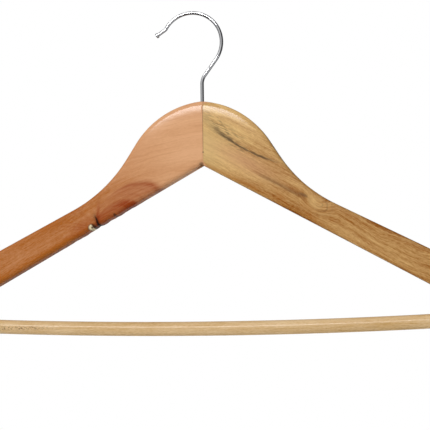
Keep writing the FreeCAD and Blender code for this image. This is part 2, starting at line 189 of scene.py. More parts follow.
class HangerFittings(bpy.types.PropertyGroup):
    washer_hole: length("Washer hole", "Hole of the washer", 2.66)
    edge_break: length("Edge break", "Rounding of the stamped edges", 0.12)
    nut_flats: length("Nut flats", "Nut width across its flats", 5)
    brad_wide: length("Brad", "Brad shank diameter", 1.4)
    brad_head: length("Brad head", "Brad head diameter", 2.2)
    brad_head_thick: length("Brad head thickness", "Brad head thickness", 0.6)
    brad_point: length("Brad point", "Length of the brad's point", 1.4)
    facets: count("Facets", "Facets round each fitting", 48)


class HangerFinishes(bpy.types.PropertyGroup):
    pink_light: colour("Pink wood, light", "Early wood of the left shoulder", 240, 183, 135)
    pink_dark: colour("Pink wood, dark", "Late wood of the left shoulder", 184, 104, 30)
    knot_red: colour("Knot red", "Heart of the knot", 160, 64, 6)
    knot_bark: colour("Knot bark", "Bark in the knot's crack", 52, 26, 12)
    knot_cream: colour("Knot cream", "Crescent of pale wood by the crack", 250, 232, 190)
    brown_light: colour("Brown wood, light", "Early wood of the right shoulder", 246, 203, 134)
    brown_dark: colour("Brown wood, dark", "Late wood of the right shoulder", 158, 90, 4)
    brown_olive: colour("Brown wood, olive", "Greenish wood beside the joint", 224, 190, 128)
    brown_rose: colour("Brown wood, rose", "Pinkish wood under the streak", 214, 158, 116)
    brown_amber: colour("Brown wood, amber", "Orange wood along the lower edge", 186, 118, 50)
    streak: colour("Streak", "Mineral streak in the right shoulder", 78, 62, 42)
    bar_light: colour("Bar, light", "Early wood of the bar", 246, 213, 165)
    bar_dark: colour("Bar, dark", "Late wood of the bar", 214, 170, 106)
    fleck: colour("Fleck", "Pores and flecks", 120, 82, 48)
    chrome: colour("Chrome", "Bright plating of the hook", 236, 237, 240)
    steel: colour("Steel", "Zinc coat of the fittings", 188, 190, 192)
    floor: colour("Floor", "Pale studio floor", 232, 232, 230)


class HangerStage(bpy.types.PropertyGroup):
    floor_drop: length("Floor drop", "Floor below the trouser bar", 1100)
    floor_size: length("Floor size", "Width of the floor", 6000)
    distance: length("Distance", "Camera from its aim", 1000)
    aim_right: amount("Aim right", "Camera aim right of the middle, in metres", 0.008155)
    aim_up: amount("Aim up", "Camera aim above the middle, in metres", -0.030882)
    yaw: angle("Yaw", "Camera to the right of straight on", 9.76)
    pitch: angle("Pitch", "Upward look of the camera", 4.4)
    roll: angle("Roll", "Camera roll", -0.686)
    lens: amount("Lens", "Focal length in millimetres", 118.59)
    key_power: amount("Key power", "Power of the main softbox in watts", 10)
    wash_power: amount("Wash power", "Power of the lamp that lights the floor in watts", 14)
    front: amount("Front", "Brightness of the tent's white panels", 1)
    opening: amount("Opening", "Brightness of the tent's dark openings", 0.06)


# ---- mesh tools


def verts_of(items):
    return [item for item in items if isinstance(item, bmesh.types.BMVert)]


class Pen:
    """Draws an outline in the XZ plane: lines and arcs, each tangent to the last."""

    def __init__(self, mesh, x, z, heading):
        self.mesh = mesh
        self.x = x
        self.z = z
        self.heading = heading
        self.tip = mesh.verts.new((x, 0, z))

    def line(self, run):
        self.x += run * cos(self.heading)
        self.z += run * sin(self.heading)
        self.tip = bmesh.ops.extrude_vert_indiv(self.mesh, verts=[self.tip])["verts"][0]
        self.tip.co = (self.x, 0, self.z)

    def arc(self, radius, turn, step=radians(4)):
        """Turn left by a positive angle or right by a negative one."""
        side = copysign(pi / 2, turn)
        centre = Vector((self.x, 0, self.z))
        centre += radius * Vector((cos(self.heading + side), 0, sin(self.heading + side)))
        spun = bmesh.ops.spin(
            self.mesh, geom=[self.tip], cent=centre, axis=(0, -1, 0), angle=turn,
            steps=max(2, ceil(abs(turn) / step)), use_duplicate=False
        )
        self.tip = verts_of(spun["geom_last"])[0]
        self.heading += turn
        self.x = self.tip.co.x
        self.z = self.tip.co.z


class Sweep:
    """A round section pushed along straight runs and round bends in the XZ plane."""

    def __init__(self, mesh, start, heading, radius, facets):
        self.mesh = mesh
        self.heading = heading
        self.centre = Vector(start)
        self.radius = radius
        tilt = Matrix.Rotation(pi / 2 - heading, 4, "Y")
        ring = bmesh.ops.create_circle(
            mesh, segments=facets, radius=radius, matrix=Matrix.Translation(self.centre) @ tilt
        )
        self.ring = ring["verts"]
        self.first_edges = self.edges()

    def edges(self):
        chosen = set(self.ring)
        found = {edge for vert in self.ring for edge in vert.link_edges}
        return [edge for edge in found if all(vert in chosen for vert in edge.verts)]

    def along(self):
        return Vector((cos(self.heading), 0, sin(self.heading)))

    def run(self, distance, radius=None):
        """Go straight on, to a new radius if one is given."""
        grown = bmesh.ops.extrude_edge_only(self.mesh, edges=self.edges())["geom"]
        self.ring = verts_of(grown)
        self.centre = self.centre + distance * self.along()
        bmesh.ops.translate(self.mesh, verts=self.ring, vec=distance * self.along())
        if radius is not None:
            self.resize(radius)

    def resize(self, radius):
        """Give the open end a new radius."""
        share = radius / self.radius
        about = Matrix.Translation(-self.centre)
        bmesh.ops.scale(self.mesh, verts=self.ring, vec=(share, share, share), space=about)
        self.radius = radius

    def bend(self, radius, turn, steps):
        """Turn left by a positive angle or right by a negative one."""
        side = self.heading + copysign(pi / 2, turn)
        pivot = self.centre + radius * Vector((cos(side), 0, sin(side)))
        spun = bmesh.ops.spin(
            self.mesh, geom=self.ring + self.edges(), cent=pivot, axis=(0, -1, 0), angle=turn,
            steps=steps, use_duplicate=False
        )
        self.ring = verts_of(spun["geom_last"])
        self.centre = pivot + Matrix.Rotation(-turn, 3, "Y") @ (self.centre - pivot)
        self.heading += turn

    def close(self):
        """Close both ends."""
        for edges in (self.first_edges, self.edges()):
            bmesh.ops.contextual_create(self.mesh, geom=edges)


def clean(mesh):
    bmesh.ops.remove_doubles(mesh, verts=mesh.verts, dist=MERGE)
    bmesh.ops.recalc_face_normals(mesh, faces=mesh.faces)


def new_piece(name, mesh):
    """An object at the origin from a finished mesh."""
    piece = bpy.data.objects.new(name, bpy.data.meshes.new(name))
    bpy.context.scene.collection.objects.link(piece)
    store(mesh, piece)
    return piece


def reopened(piece):
    mesh = bmesh.new()
    mesh.from_mesh(piece.data)
    return mesh


def store(mesh, piece):
    """Give a mesh to a piece, smooth but for its sharp corners."""
    mesh.to_mesh(piece.data)
    mesh.free()
    piece.data.shade_smooth()
    piece.data.set_sharp_from_angle(angle=SHARP_ANGLE)


def bake_modifiers(piece):
    graph = bpy.context.evaluated_depsgraph_get()
    shaped = bpy.data.meshes.new_from_object(piece.evaluated_get(graph))
    old = piece.data
    name = old.name
    piece.modifiers.clear()
    piece.data = shaped
    bpy.data.meshes.remove(old)
    shaped.name = name


def cut(piece, mesh):
    """Take a closed cutter out of a piece."""
    clean(mesh)
    cutter = new_piece("cutter", mesh)
    difference = piece.modifiers.new("cut", "BOOLEAN")
    difference.operation = "DIFFERENCE"
    difference.solver = "EXACT"
    difference.object = cutter
    bake_modifiers(piece)
    data = cutter.data
    bpy.data.objects.remove(cutter)
    bpy.data.meshes.remove(data)


def rod_cutter(start, direction, run, diameter, facets):
    """A straight round drill from a point along a direction."""
    mesh = bmesh.new()
    along = Vector(direction).normalized()
    turn = along.to_track_quat("Z", "Y").to_matrix().to_4x4()
    bmesh.ops.create_cone(
        mesh, cap_ends=True, segments=facets, radius1=diameter / 2, radius2=diameter / 2, depth=run,
        matrix=Matrix.Translation(Vector(start) + along * run / 2) @ turn
    )
    return mesh


def dress(piece, material):
    piece.data.materials.clear()
    piece.data.materials.append(material)


def settle(piece, material, body, node):
    """Finish a piece, let it move with its body and stand for its CAD node."""
    dress(piece, material)
    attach(piece, body)
    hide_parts(node)


# ---- material tools


def overload(operation):
    """A method that puts a Math node on a value and on what it is given."""
    return lambda value, *others: value.graph.maths(operation, value, *others)


class Value:
    """A number that varies over a surface. Arithmetic on it adds nodes."""

    def __init__(self, graph, socket):
        self.graph = graph
        self.socket = socket

    __add__ = __radd__ = overload("ADD")
    __sub__ = overload("SUBTRACT")
    __mul__ = __rmul__ = overload("MULTIPLY")
    __truediv__ = overload("DIVIDE")
    __pow__ = overload("POWER")
    __abs__ = overload("ABSOLUTE")
    at_least = overload("MAXIMUM")
    at_most = overload("MINIMUM")
    # Follows the value up to a ceiling, with a soft corner over a reach.
    eased_below = overload("SMOOTH_MIN")

    def __rsub__(self, other):
        return self.graph.maths("SUBTRACT", other, self)

    def between(self, low, high):
        """0 at low and 1 at high, with a smooth ramp between them; low may be the larger."""
        ramp = self.graph.node(
            "ShaderNodeMapRange", {"interpolation_type": "SMOOTHSTEP"},
            {"Value": self, "From Min": low, "From Max": high}
        )
        return Value(self.graph, ramp.outputs["Result"])

    def bell(self, centre=0, width=1):
        """1 at the centre, fading smoothly to nothing two widths away."""
        offset = (self - centre) / width
        return self.graph.maths("EXPONENT", -1 * (offset * offset))


class Graph:
    """The nodes of a material or of the surround."""

    def __init__(self, owner):
        owner.use_nodes = True
        self.tree = owner.node_tree
        self.tree.nodes.clear()

    def node(self, kind, settings=None, inputs=None):
        made = self.tree.nodes.new(kind)
        for key, value in (settings or {}).items():
            setattr(made, key, value)
        self.feed(made, inputs or {})
        return made

    def feed(self, node, inputs):
        for key, value in inputs.items():
            socket = node.inputs[key]
            if isinstance(value, Value):
                value = value.socket
            if isinstance(value, bpy.types.NodeSocket):
                self.tree.links.new(value, socket)
            elif hasattr(socket.default_value, "__len__") and len(socket.default_value) == 4:
                socket.default_value = (*value[:3], 1)
            else:
                socket.default_value = value

    def maths(self, operation, *terms):
        made = self.node("ShaderNodeMath", {"operation": operation}, dict(enumerate(terms)))
        return Value(self, made.outputs[0])

    def mix(self, factor, first, second):
        """Go from the first colour to the second; the node keeps the factor from 0 to 1."""
        made = self.node("ShaderNodeMix", {"data_type": "RGBA"}, {"Factor": factor, 6: first, 7: second})
        return made.outputs[2]

    def scaled(self, tint, factor):
        """A colour made lighter or darker."""
        made = self.node("ShaderNodeVectorMath", {"operation": "SCALE"}, {0: tint, "Scale": factor})
        return made.outputs[0]

    def place(self, origin, side=1, turn=0):
        """Millimetres from an origin, along X, Y and Z turned about Y."""
        scale = Vector((side / MM, 1 / MM, 1 / MM))
        moved = Vector(origin) * scale
        moved.rotate(Matrix.Rotation(turn, 3, "Y"))
        coordinates = self.node("ShaderNodeTexCoord").outputs["Object"]
        mapping = self.node(
            "ShaderNodeMapping", {"vector_type": "POINT"},
            {"Vector": coordinates, "Location": -moved, "Rotation": (0, turn, 0), "Scale": scale}
        )
        parts = self.node("ShaderNodeSeparateXYZ", {}, {0: mapping.outputs[0]})
        return [Value(self, socket) for socket in parts.outputs]

    def distance(self, first, second):
        return self.maths("SQRT", first**2 + second**2)

    def noise(self, x, y, z, detail=2, roughness=0.5):
        """Cloudy noise from 0 to 1 over three coordinates, with features about one unit apart."""
        point = self.node("ShaderNodeCombineXYZ", {}, {0: x, 1: y, 2: z})
        made = self.node(
            "ShaderNodeTexNoise", {"noise_dimensions": "3D"},
            {"Vector": point.outputs[0], "Scale": 1, "Detail": detail, "Roughness": roughness}
        )
        return Value(self, made.outputs[0])


class Surface(Graph):
    """A material's nodes, round a Principled shader."""

    def __init__(self, name):
        self.material = bpy.data.materials.new(name)
        super().__init__(self.material)
        self.shader = self.node("ShaderNodeBsdfPrincipled")
        self.node("ShaderNodeOutputMaterial", {}, {"Surface": self.shader.outputs[0]})

    def paint(self, inputs):
        self.feed(self.shader, inputs)

    def bump(self, height, distance, strength):
        """Feed a height into the normal; distance is in millimetres."""
        made = self.node(
            "ShaderNodeBump", {}, {"Height": height, "Distance": distance * MM, "Strength": strength}
        )
        self.paint({"Normal": made.outputs[0]})


# ---- materials
#
# On a shoulder, u runs along the arm from the crotch, w across the thickness and v up from the
# lower edge, all in millimetres. Each pattern's place and size are given in them.


def lacquer(graph, tint, relief, coat):
    """The clear satin lacquer that all the wood has."""
    graph.paint({
        "Base Color": tint, "Roughness": 0.44 + 0.2 * (relief - 0.5), "IOR": 1.5,
        "Specular IOR Level": 0.06, "Coat Weight": coat, "Coat Roughness": 0.16, "Coat IOR": 1.5
    })
    graph.bump(relief, distance=0.06, strength=0.5)


def shaded_sides(graph, tint, depth):
    """Painted shade: the narrow sides made darker, where the rounded edges turn away from the light."""
    half = (cad_high.y - cad_low.y) / 2 / MM
    return graph.scaled(tint, 1 - 0.12 * abs(depth).between(half - 2.2, half - 4.5))


def glue_line_and_shade(graph, origin, sizes):
    """A dark glue line, with painted shade in a tiny gap at its lower end and a painted shade spot in
    the crotch.
    """
    across, _, up = graph.place(origin)
    seam = sizes.seam_offset / MM
    wide = 0.16 + 0.1 * graph.noise(up / 3, 0, 1.5)
    line = 0.5 * (across - seam).bell(0, wide) * up.between(3, 13.5)
    # Painted shade in the tiny gap at the glue line's lower end.
    gap = 0.6 * (((across - seam) / 0.5) ** 2 + ((up - 8.6) / 0.5) ** 2).bell()
    # Painted shade: a dark spot in the crotch's corner.
    corner = 0.48 * ((across / 1.6) ** 2 + ((up - 0.4) / 1.3) ** 2).bell()
    return (line + gap + corner).at_most(0.8)


def figure(graph, along, depth, flow, seed):
    """Broad bands, growth lines, fine lines and pores, all stretched along the grain."""
    broad = graph.noise(along / 80 + seed, depth / 16, flow / 8)
    lines = graph.noise(along / 48 + seed, depth / 7, flow / 2.3, detail=3, roughness=0.6)
    fine = graph.noise(along / 15 + seed, depth / 2.5, flow / 0.85, detail=3, roughness=0.65)
    pores = graph.noise(along / 2.4 + seed, depth / 0.8, flow / 0.7, detail=2, roughness=0.6)
    return broad - 0.5, lines - 0.5, fine - 0.5, pores - 0.5


def relief_of(fine, pores):
    return 0.5 + 0.9 * fine + 0.9 * pores


def full_coat(relief):
    return 0.5 + 0.16 * (relief - 0.5)


def pink_wood(finish, sizes, origin):
    graph = Surface("pink_wood")
    u, w, v = graph.place(origin, -1, -sizes.lower_angle)

    # The grain runs along the arm and lies flatter in the crown.
    drift = graph.noise(u / 62, w / 30, v / 24) - 0.5
    flow = v - 0.36 * u.eased_below(45, 30) + 4 * drift
    broad, lines, fine, pores = figure(graph, u, w, flow, 0)

    # Thin growth lines, clearest in the crown.
    wander = graph.noise(u / 38, w / 18, v / 11)
    phase = (flow / 4.3 + 2.6 * wander) * tau
    growth = graph.maths("SINE", phase).between(0.45, 1)
    growth = growth * u.between(78, 20) * wander.between(0.36, 0.62)

    # Rings that all touch at the knot and open towards the crown.
    back = (KNOT_END - u).at_least(0.6)
    lift = 1.65 * (v + 1)
    ripple = graph.noise(u / 7, w / 7, v / 5) - 0.5
    ring = (back * back + lift * lift) / (2 * back) + 1.8 * ripple
    beyond = (KNOT_END - u).between(-1.5, 1.5)
    crownward = u.between(74, 52)
    inner = ring.between(17, 14.5) * beyond * (0.5 + 0.38 * crownward)
    outer = ring.between(28.5, 24.5) * beyond * (0.16 + 0.24 * crownward)
    edge = ring.bell(25.6, 1.6) * beyond * (0.06 + 0.22 * crownward)
    spine = (u - 87 + 0.68 * v).bell(0, 1.6) * v.between(19, 9)
    fine_rings = graph.maths("SINE", (ring + 2 * fine) * (tau / 3.1)).between(0, 1)
    fine_rings = fine_rings * ring.between(31, 20) * beyond

    # Shade round the knot, and lines that fan out from it along the arm.
    shadow = graph.distance((u - 94) / 20, (v - 3.5) / 9).between(1, 0.15)
    bearing = graph.maths("ARCTAN2", v + 4, (u - 84).at_least(0.1))
    fan = graph.noise(bearing * 13, u / 30, w / 9, detail=2).between(0.46, 0.66)
    fan = fan * u.between(86, 92) * u.between(128, 100)

    streaks = 0.7 * broad + 0.35 * lines + 0.5 * fine + 0.5 * pores + 0.16 * growth
    tone = 0.1 + streaks * (0.75 + 0.5 * u.between(40, 110))
    # Darker from the crown towards the arm: partly the wood's own colour, partly painted shade for light
    # falling off away from the crown.
    tone = tone + 0.68 * u.between(0, 88) + 0.1 * u.between(100, 140)
    tone = tone + 0.16 * v.between(8, 1) * u.between(40, 90)
    wood = graph.mix(tone, finish.pink_light, finish.pink_dark)
    reddened = 0.8 * inner + outer + edge + 0.12 * fine_rings + 0.55 * spine
    reddened = reddened * (1 + 0.9 * lines + 0.9 * fine) + 0.36 * shadow + 0.2 * fan
    wood = graph.mix(reddened, wood, finish.knot_red)

    # The crack, its crescent of pale wood and the pith.
    lean = u - CRACK_PLACE + CRACK_LEAN * v + 0.9 * ripple
    crack = 0.85 * lean.bell(0, 0.45 + 0.11 * (6 - v).at_least(0)) * v.between(8.6, 4.6)
    burn = lean.bell(0.2, 1.7) * v.between(12, 5)
    from_eye = graph.distance(u - 90.3, 1.1 * (v - 1.1))
    halo = from_eye.between(3.8, 1.8)
    crescent = (1.5 * from_eye.bell(1.5, 0.8)).at_most(1) * u.between(89.2, 90.2)
    pith = graph.distance(u - 71.7, v - 0.7).between(1.7, 0.4)
    bark = crack + 0.36 * burn + 0.85 * halo + 0.7 * pith
    wood = graph.mix(bark, wood, finish.knot_bark)
    wood = graph.mix(crescent, wood, finish.knot_cream)

    # Painted shade on the narrow sides and in the crotch, with the seam's own dark glue line.
    wood = graph.scaled(shaded_sides(graph, wood, w), 1 - glue_line_and_shade(graph, origin, sizes))
    lacquer(graph, wood, relief_of(fine, pores), 0.5 - 0.4 * crack)
    return graph.material


def brown_wood(finish, sizes, origin):
    graph = Surface("brown_wood")
    u, w, v = graph.place(origin, 1, -sizes.lower_angle)

    # The grain runs along the arm, swirls round a small curl and is wavy beyond it.
    wavy = 3.6 + 5.5 * u.between(78, 104)
    drift = graph.noise(u / 40 + 5, w / 30, v / 20) - 0.5
    from_curl = graph.distance((u - 86.5) / 1.5, v - 13.3)
    swell = graph.maths("EXPONENT", from_curl * from_curl * -0.022)
    flow = v + wavy * drift + 7 * swell
    broad, lines, fine, pores = figure(graph, u, w, flow, 9)

    tone = 0.17 + 0.95 * broad + lines + 0.95 * fine + 0.8 * pores
    # Darker from the crown towards the arm: partly the wood's own colour, partly painted shade for light
    # falling off away from the crown.
    tone = tone + 0.45 * u.between(4, 62) + 0.26 * v.between(12, 1.5) * u.between(100, 80)
    tone = tone + 0.22 * v.between(11, 19) * u.between(96, 130) - 0.08 * swell
    wood = graph.mix(tone, finish.brown_light, finish.brown_dark)
    olive = u.between(26, -6) * v.between(31, 18)
    wood = graph.mix(0.6 * olive, wood, finish.brown_olive)
    rose = ((u - 26) / 24).bell() * ((v - 16) / 6.5).bell()
    wood = graph.mix(0.6 * rose, wood, finish.brown_rose)
    amber = u.between(26, 42) * u.between(104, 88) * ((v - 5.2) / 3).bell()
    amber = amber * graph.noise(u / 13, w / 9, v / 4).between(0.4, 0.62)
    amber = amber + ((v - 1.4) / 1.2).bell() * (0.3 + 0.5 * u.between(60, 10))
    wood = graph.mix(0.55 * amber, wood, finish.brown_amber)

    # The mineral streak: fuzzy by the seam, a thin dark line further out.
    start = (10 - u).at_least(0)
    middle = 23.6 + 0.0045 * (u - 24) ** 2
    ragged = graph.noise(u / 4, w / 4, v / 0.9, detail=3) - 0.5
    line = (v - middle + 2.6 * ragged).bell(0, 0.75 + 0.1 * start)
    line = line * u.between(52, 34) * (0.3 + 0.7 * u.between(-9, 8))
    dashes = graph.noise(u / 5 + 2, w / 4, v / 0.8, detail=3).between(0.45, 0.68)
    smudge = ((v - middle - 3.4) / 4.4).bell() * ((u - 3) / 17).bell()
    below = ((v - middle + 2) / 2.2).bell() * ((u - 22) / 14).bell()
    wood = graph.mix((0.62 * smudge + 0.4 * below) * dashes + 0.1 * smudge, wood, finish.streak)
    wood = graph.mix(0.85 * line, wood, finish.streak)

    # A brown band that runs into the curl, its dark end, and arcs on the curl's far side.
    band = ((v - 12.7 + 2 * drift) / 1.5).bell() * u.between(34, 48) * u.between(80, 70)
    spot = (((u - 74.4) / 3.4) ** 2 + (v - 14.2 + 2 * fine) ** 2).bell()
    warped = from_curl + 6 * drift + 3 * lines
    arcs = graph.maths("SINE", warped * (tau / 2.7)).between(0.2, 1)
    arcs = arcs * from_curl.between(8.5, 4.5) * (0.25 + 0.75 * u.between(84, 91))
    dark = 0.42 * band * (1 + 3 * lines) + 0.62 * spot + 0.36 * arcs
    wood = graph.mix(dark, wood, finish.fleck)
    pale = ((u - 133) / 13).bell() * ((v - 8.6 + 4 * drift) / 1.1).bell()
    pale = 0.55 * pale + 0.38 * ((from_curl - 3) / 2.4).bell() * u.between(92, 84)
    wood = graph.mix(pale, wood, finish.brown_light)

    # Painted shade on the narrow sides and in the crotch, with the seam's own dark glue line.
    wood = graph.scaled(shaded_sides(graph, wood, w), 1 - glue_line_and_shade(graph, origin, sizes))
    relief = relief_of(fine, pores)
    lacquer(graph, wood, relief, full_coat(relief))
    return graph.material


def pale_wood(finish, origin):
    graph = Surface("pale_wood")
    x, y, z = graph.place(origin)
    sway = graph.noise(x / 60, y / 8, z / 8) - 0.5
    broad, lines, fine, pores = figure(graph, x, y, z + 2 * sway, 4)
    tone = 0.4 + 0.9 * broad + 0.9 * lines + 1.3 * fine + 1.1 * pores
    wood = graph.mix(tone, finish.bar_light, finish.bar_dark)

    # Short pores everywhere, and a crowded row of flecks near the left end.
    short = graph.noise(x / 1.8, y / 0.4, z / 0.4).between(0.64, 0.76)
    crowd = x.between(-100, -130) * ((z + 1.3) / 1.2).bell()
    flecks = graph.noise(x / 1.3, y / 0.9, z / 0.7, detail=1).between(0.5, 0.6)
    marks = 0.3 * short + 0.8 * crowd * flecks
    wood = graph.mix(marks, wood, finish.fleck)
    relief = relief_of(fine, pores)
    lacquer(graph, wood, relief, full_coat(relief))
    return graph.material


def bright_chrome(finish):
    """Polished plating with faint drawing marks and a few dull patches."""
    graph = Surface("bright_chrome")
    x, y, z = graph.place((0, 0, 0))
    cloud = graph.noise(x / 4, y / 2, z / 4, detail=3)
    marks = graph.noise(x / 1.1, y / 0.25, z / 1.1, detail=2)
    graph.paint({
        "Base Color": graph.scaled(finish.chrome, 0.94 + 0.06 * cloud), "Metallic": 1,
        "Roughness": 0.05 + 0.08 * cloud.between(0.45, 0.8)
    })
    graph.bump(marks, distance=0.006, strength=0.1)
    return graph.material


def plain_steel(finish):
    """Zinc-coated steel with stamping marks and dull spots."""
    graph = Surface("plain_steel")
    x, y, z = graph.place((0, 0, 0))
    cloud = graph.noise(x / 1.6, y / 1.6, z / 1.6, detail=4, roughness=0.6)
    scratch = graph.noise(x / 0.12, y / 2.4, z / 0.5, detail=2)
    graph.paint({
        "Base Color": graph.scaled(finish.steel, 0.72 + 0.4 * cloud), "Metallic": 1,
        "Roughness": 0.26 + 0.24 * cloud + 0.1 * scratch
    })
    graph.bump(0.5 * cloud + 0.5 * scratch, distance=0.02, strength=0.5)
    return graph.material


def pale_floor(finish):
    graph = Surface("pale_floor")
    x, y, z = graph.place((0, 0, 0))
    cloud = graph.noise(x / 420, y / 420, z, detail=4)
    fine = graph.noise(x / 6, y / 6, z, detail=2)
    graph.paint({
        "Base Color": graph.scaled(finish.floor, 0.97 + 0.06 * (cloud - 0.5)),
        "Roughness": 0.7 + 0.1 * cloud
    })
    graph.bump(fine, distance=0.2, strength=0.1)
    return graph.material


# ---- pieces


def crotch():
    """Where the lower edges of the shoulders meet, on the swivel axis."""
    sizes = bpy.context.scene.hanger_shoulders
    washer = middle_of("hook_washer")
    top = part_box("hook_washer")[1].z
    return Vector((washer.x, washer.y, top - sizes.cup_floor))


def draw_half_outline(mesh, sizes):
    """Right half of the shoulders' front outline, from the crown's top to the crotch."""
    reach = sizes.span / 2
    pen = Pen(mesh, 0, sizes.crown_rise, 0)
    pen.arc(sizes.apex_radius, -sizes.apex_angle)
    pen.arc(sizes.crown_radius, sizes.apex_angle - sizes.flank_angle, radians(2))
    pen.line(sizes.flank_run)
    pen.arc(sizes.neck_radius, sizes.flank_angle - sizes.upper_angle, radians(2))
    tip_start = reach - sizes.tip_top_radius * (1 - sin(sizes.upper_angle))
    pen.line((tip_start - pen.x) / cos(pen.heading))
    pen.arc(sizes.tip_top_radius, sizes.upper_angle - pi / 2)
    low_turn = pi / 2 + sizes.lower_angle
    low_tangent = sizes.tip_low_radius * tan(low_turn / 2)
    pen.line(pen.z + reach * tan(sizes.lower_angle) - low_tangent)
    pen.arc(sizes.tip_low_radius, -low_turn, radians(8))
    pen.line(hypot(pen.x, pen.z))


def shoulder_blank(sizes, origin, thickness):
    """Both shoulders in one, with rounded edges."""
    mesh = bmesh.new()
    draw_half_outline(mesh, sizes)
    bmesh.ops.mirror(mesh, geom=mesh.verts[:] + mesh.edges[:], axis="X", merge_dist=MERGE)
    bmesh.ops.remove_doubles(mesh, verts=mesh.verts, dist=MERGE)
    face = bmesh.ops.contextual_create(mesh, geom=mesh.edges[:])["faces"]
    grown = bmesh.ops.extrude_face_region(mesh, geom=face)["geom"]
    bmesh.ops.translate(mesh, verts=verts_of(grown), vec=(0, thickness, 0))
    bmesh.ops.translate(mesh, verts=mesh.verts, vec=origin - Vector((0, thickness / 2, 0)))
    bmesh.ops.recalc_face_normals(mesh, faces=mesh.faces)
    rims = [edge for edge in mesh.edges if abs(edge.verts[0].co.y - edge.verts[1].co.y) < MERGE]
    bmesh.ops.bevel(
        mesh, geom=rims, offset=sizes.edge_round, offset_type="OFFSET", segments=sizes.rounding_steps,
        profile=0.5, affect="EDGES", clamp_overlap=False, material=-1
    )
    clean(mesh)
    return mesh


def slice_faces(mesh, chosen, points, normal):
    """Cut the chosen faces along parallel planes."""
    for point in points:
        faces = [face for face in mesh.faces if chosen(face)]
        verts = {vert for face in faces for vert in face.verts}
        edges = {edge for face in faces for edge in face.edges}
        bmesh.ops.bisect_plane(
            mesh, geom=[*faces, *edges, *verts], dist=MERGE, plane_co=point, plane_no=normal
        )


def is_flat(face):
    return abs(face.normal.y) > 0.999


def upper_edge(sizes):
    """Closely spaced points along the upper edge of both shoulders."""
    mesh = bmesh.new()
    draw_half_outline(mesh, sizes)
    bmesh.ops.mirror(mesh, geom=mesh.verts[:] + mesh.edges[:], axis="X", merge_dist=MERGE)
    slope = tan(sizes.upper_angle)
    under = [v for v in mesh.verts if v.co.z < 0.3 * sizes.crown_rise - slope * abs(v.co.x)]
    bmesh.ops.delete(mesh, geom=under, context="VERTS")
    for _ in range(2):
        bmesh.ops.subdivide_edges(mesh, edges=mesh.edges[:], cuts=3)
    tree = KDTree(len(mesh.verts))
    for index, vert in enumerate(mesh.verts):
        tree.insert(vert.co, index)
    tree.balance()
    mesh.free()
    return tree


def ease_crown(mesh, sizes, origin, thickness):
    """Let the crown's faces fall away softly towards its upper edge."""
    reach = 0.078
    step = 0.0026
    rows = range(-16, 18)

    def on_crown(face):
        return is_flat(face) and any(abs(vert.co.x - origin.x) < reach for vert in face.verts)

    count_x = round(reach / step)
    across = [origin + Vector((step * i, 0, 0)) for i in range(-count_x, count_x + 1)]
    slice_faces(mesh, on_crown, across, (1, 0, 0))
    upward = [origin + Vector((0, 0, step * i)) for i in rows]
    slice_faces(mesh, on_crown, upward, (0, 0, 1))

    tree = upper_edge(sizes)
    flank = thickness / 2 - sizes.edge_round
    for vert in mesh.verts:
        x, y, z = vert.co - origin
        share = (abs(y) - flank) / sizes.edge_round
        weight = min(1, max(0, (reach - abs(x)) / (0.5 * reach)))
        if share <= 0 or weight <= 0:
            continue
        distance = tree.find((x, 0, z))[2]
        inside = max(0, 1 - distance / sizes.pillow_reach)
        weight = weight * weight * (3 - 2 * weight)
        vert.co.y -= copysign(sizes.pillow_drop * inside**2 * min(share, 1) * weight, y)


def wear_knot(mesh, sizes, origin, thickness):
    """A crack in the front, a notch and a slightly uneven lower edge at the knot."""
    slope = sizes.lower_angle
    first, last, top = 42, 124, 11
    along = Vector((-cos(slope), 0, -sin(slope)))
    above = Vector((-sin(slope), 0, cos(slope)))

    def on_arm(point):
        offset = point - origin
        return offset.dot(along) / MM, offset.dot(above) / MM

    def everywhere(face):
        return on_arm(face.calc_center_median())[1] < 40

    def by_knot(face):
        u, v = on_arm(face.calc_center_median())
        return is_flat(face) and 77 < u < 97 and v < top and face.normal.y < 0

    for places in (range(40, 78, 2), range(78, 96), range(96, 126, 2)):
        slice_faces(mesh, everywhere, [origin + along * (i * MM) for i in places], along)
    slice_faces(mesh, by_knot, [origin + above * (i * MM) for i in range(4, top)], above)
    for vert in mesh.verts:
        u, v = on_arm(vert.co)
        if not first < u < last or v > top:
            continue
        low = min(1, max(0, (7 - v) / 7))
        near = sin(pi * (u - first) / (last - first))
        wave = 0.2 * sin(0.42 * u + 0.6) + 0.12 * sin(1.07 * u)
        notch = 0.85 * exp(-(((u - 86.2) / 1.5) ** 2))
        vert.co += above * (low * (near * wave + notch) * MM)
        if vert.co.y < origin.y - thickness / 2 + 4 * MM:
            gap = exp(-(((u - CRACK_PLACE + CRACK_LEAN * v) / 0.6) ** 2))
            gap *= min(1, max(0, (9 - v) / 4))
            eye = exp(-(((u - 90.2) / 1.6) ** 2 + ((v - 1.1) / 1.8) ** 2))
            vert.co.y += (0.6 * gap + 0.2 * eye) * MM


